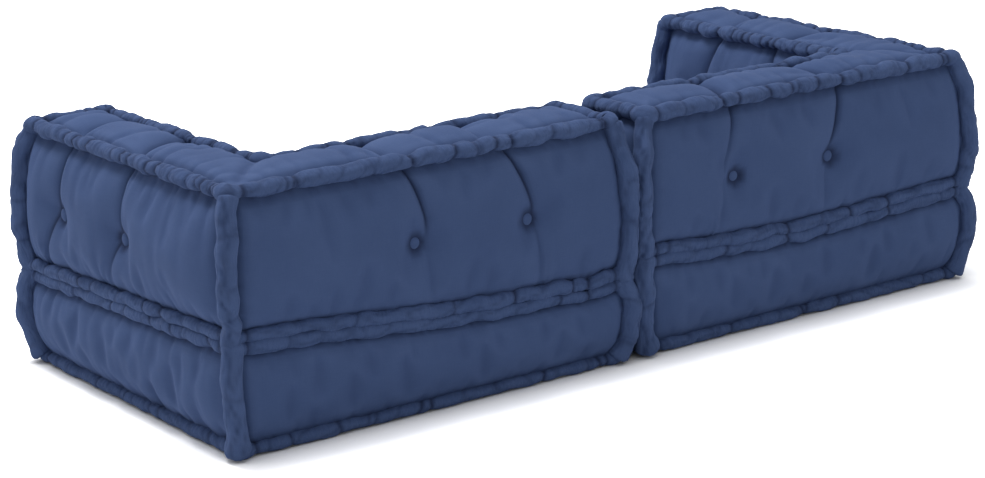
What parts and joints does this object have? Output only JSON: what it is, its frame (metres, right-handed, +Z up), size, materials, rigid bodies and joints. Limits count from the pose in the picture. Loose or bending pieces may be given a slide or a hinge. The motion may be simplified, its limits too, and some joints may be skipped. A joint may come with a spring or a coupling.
{
  "type": "modular sofa",
  "caption": "Low two-module floor sofa: tufted mattress bases, each with an L-shaped back and arm cushion sewn on top, all edged with stitched rolls.",
  "frame": {"origin": "middle of the sofa's footprint, on the floor", "axes": "+Z up; the sofa faces -Y, so its back is at +Y; the left module, as seen by someone sitting, is at +X and the right module at -X"},
  "size_m": [1.438, 0.635, 0.4],
  "materials": {
    "navy_cloth": "matte",
    "button_cloth": "matte",
    "cotton_core": "matte",
    "twine": "matte"
  },
  "bodies": {
    "left_module": {"left_base_cover": "navy_cloth", "left_base_core": "cotton_core", "left_back_cover": "navy_cloth", "left_back_core": "cotton_core", "left_back_1_outer_button": "button_cloth", "left_back_1_inner_button": "button_cloth", "left_back_1_twine": "twine", "left_back_2_outer_button": "button_cloth", "left_back_2_inner_button": "button_cloth", "left_back_2_twine": "twine", "left_arm_1_outer_button": "button_cloth", "left_arm_1_inner_button": "button_cloth", "left_arm_1_twine": "twine", "left_arm_2_outer_button": "button_cloth", "left_arm_2_inner_button": "button_cloth", "left_arm_2_twine": "twine", "left_seat_1_button": "button_cloth", "left_seat_1_twine": "twine", "left_seat_2_button": "button_cloth", "left_seat_2_twine": "twine", "left_seat_3_button": "button_cloth", "left_seat_3_twine": "twine", "left_seat_4_button": "button_cloth", "left_seat_4_twine": "twine"},
    "right_module": {"right_base_cover": "navy_cloth", "right_base_core": "cotton_core", "right_back_cover": "navy_cloth", "right_back_core": "cotton_core", "right_back_1_outer_button": "button_cloth", "right_back_1_inner_button": "button_cloth", "right_back_1_twine": "twine", "right_back_2_outer_button": "button_cloth", "right_back_2_inner_button": "button_cloth", "right_back_2_twine": "twine", "right_arm_1_outer_button": "button_cloth", "right_arm_1_inner_button": "button_cloth", "right_arm_1_twine": "twine", "right_arm_2_outer_button": "button_cloth", "right_arm_2_inner_button": "button_cloth", "right_arm_2_twine": "twine", "right_seat_1_button": "button_cloth", "right_seat_1_twine": "twine", "right_seat_2_button": "button_cloth", "right_seat_2_twine": "twine", "right_seat_3_button": "button_cloth", "right_seat_3_twine": "twine", "right_seat_4_button": "button_cloth", "right_seat_4_twine": "twine"}
  },
  "joints": [
    {"name": "module_gap_slide", "type": "slide", "parent": "left_module", "child": "right_module", "axis": [-1, 0, 0], "range_m": [0, 0.6]}
  ]
}
